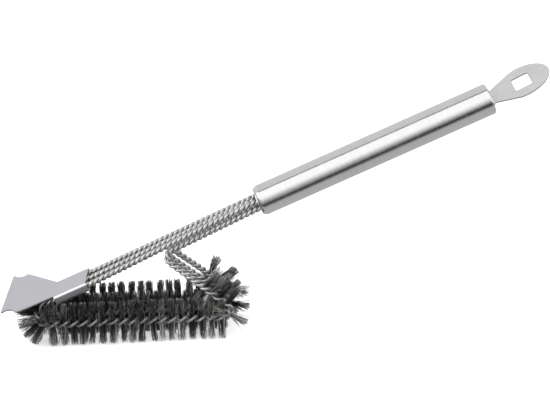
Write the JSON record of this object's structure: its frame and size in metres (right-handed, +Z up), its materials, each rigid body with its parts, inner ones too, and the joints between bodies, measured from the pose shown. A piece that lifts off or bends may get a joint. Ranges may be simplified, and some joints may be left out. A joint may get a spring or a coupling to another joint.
{
  "type": "grill cleaning brush",
  "caption": "Long-handled wire grill brush: twisted wire stems looped into parallel bristle runs, a folded scraper blade in front and a steel tube handle with a hanging tab.",
  "frame": {"origin": "centre of the brushing face, on the surface that the bristle tips stand on", "axes": "+Z up away from the brushing face, +X along the bristle runs towards the handle's tail, +Y across the tool"},
  "size_m": [0.4291, 0.074, 0.2082],
  "materials": {
    "handle_steel": "satin stainless, drawn along the tube",
    "cap_steel": "satin stainless, turned",
    "tab_steel": "satin stainless sheet",
    "plug_steel": "plain turned steel",
    "scraper_steel": "matt brushed stainless sheet with bright folds",
    "stem_wire": "drawn stainless wire",
    "bristle_wire": "fine stainless wire, dark in the bundles"
  },
  "bodies": {
    "root": {"end_cap": "cap_steel", "far_front_bristles": "bristle_wire", "far_rear_bristles": "bristle_wire", "far_run_bristles": "bristle_wire", "far_stem_lower_strand": "stem_wire", "far_stem_upper_strand": "stem_wire", "handle_tube": "handle_steel", "hanging_tab": "tab_steel", "middle_front_bristles": "bristle_wire", "middle_rear_bristles": "bristle_wire", "middle_run_bristles": "bristle_wire", "middle_stem_lower_strand": "stem_wire", "middle_stem_upper_strand": "stem_wire", "near_front_bristles": "bristle_wire", "near_rear_bristles": "bristle_wire", "near_run_bristles": "bristle_wire", "near_stem_lower_strand": "stem_wire", "near_stem_upper_strand": "stem_wire", "scraper": "scraper_steel", "stem_plug": "plug_steel"}
  },
  "joints": []
}
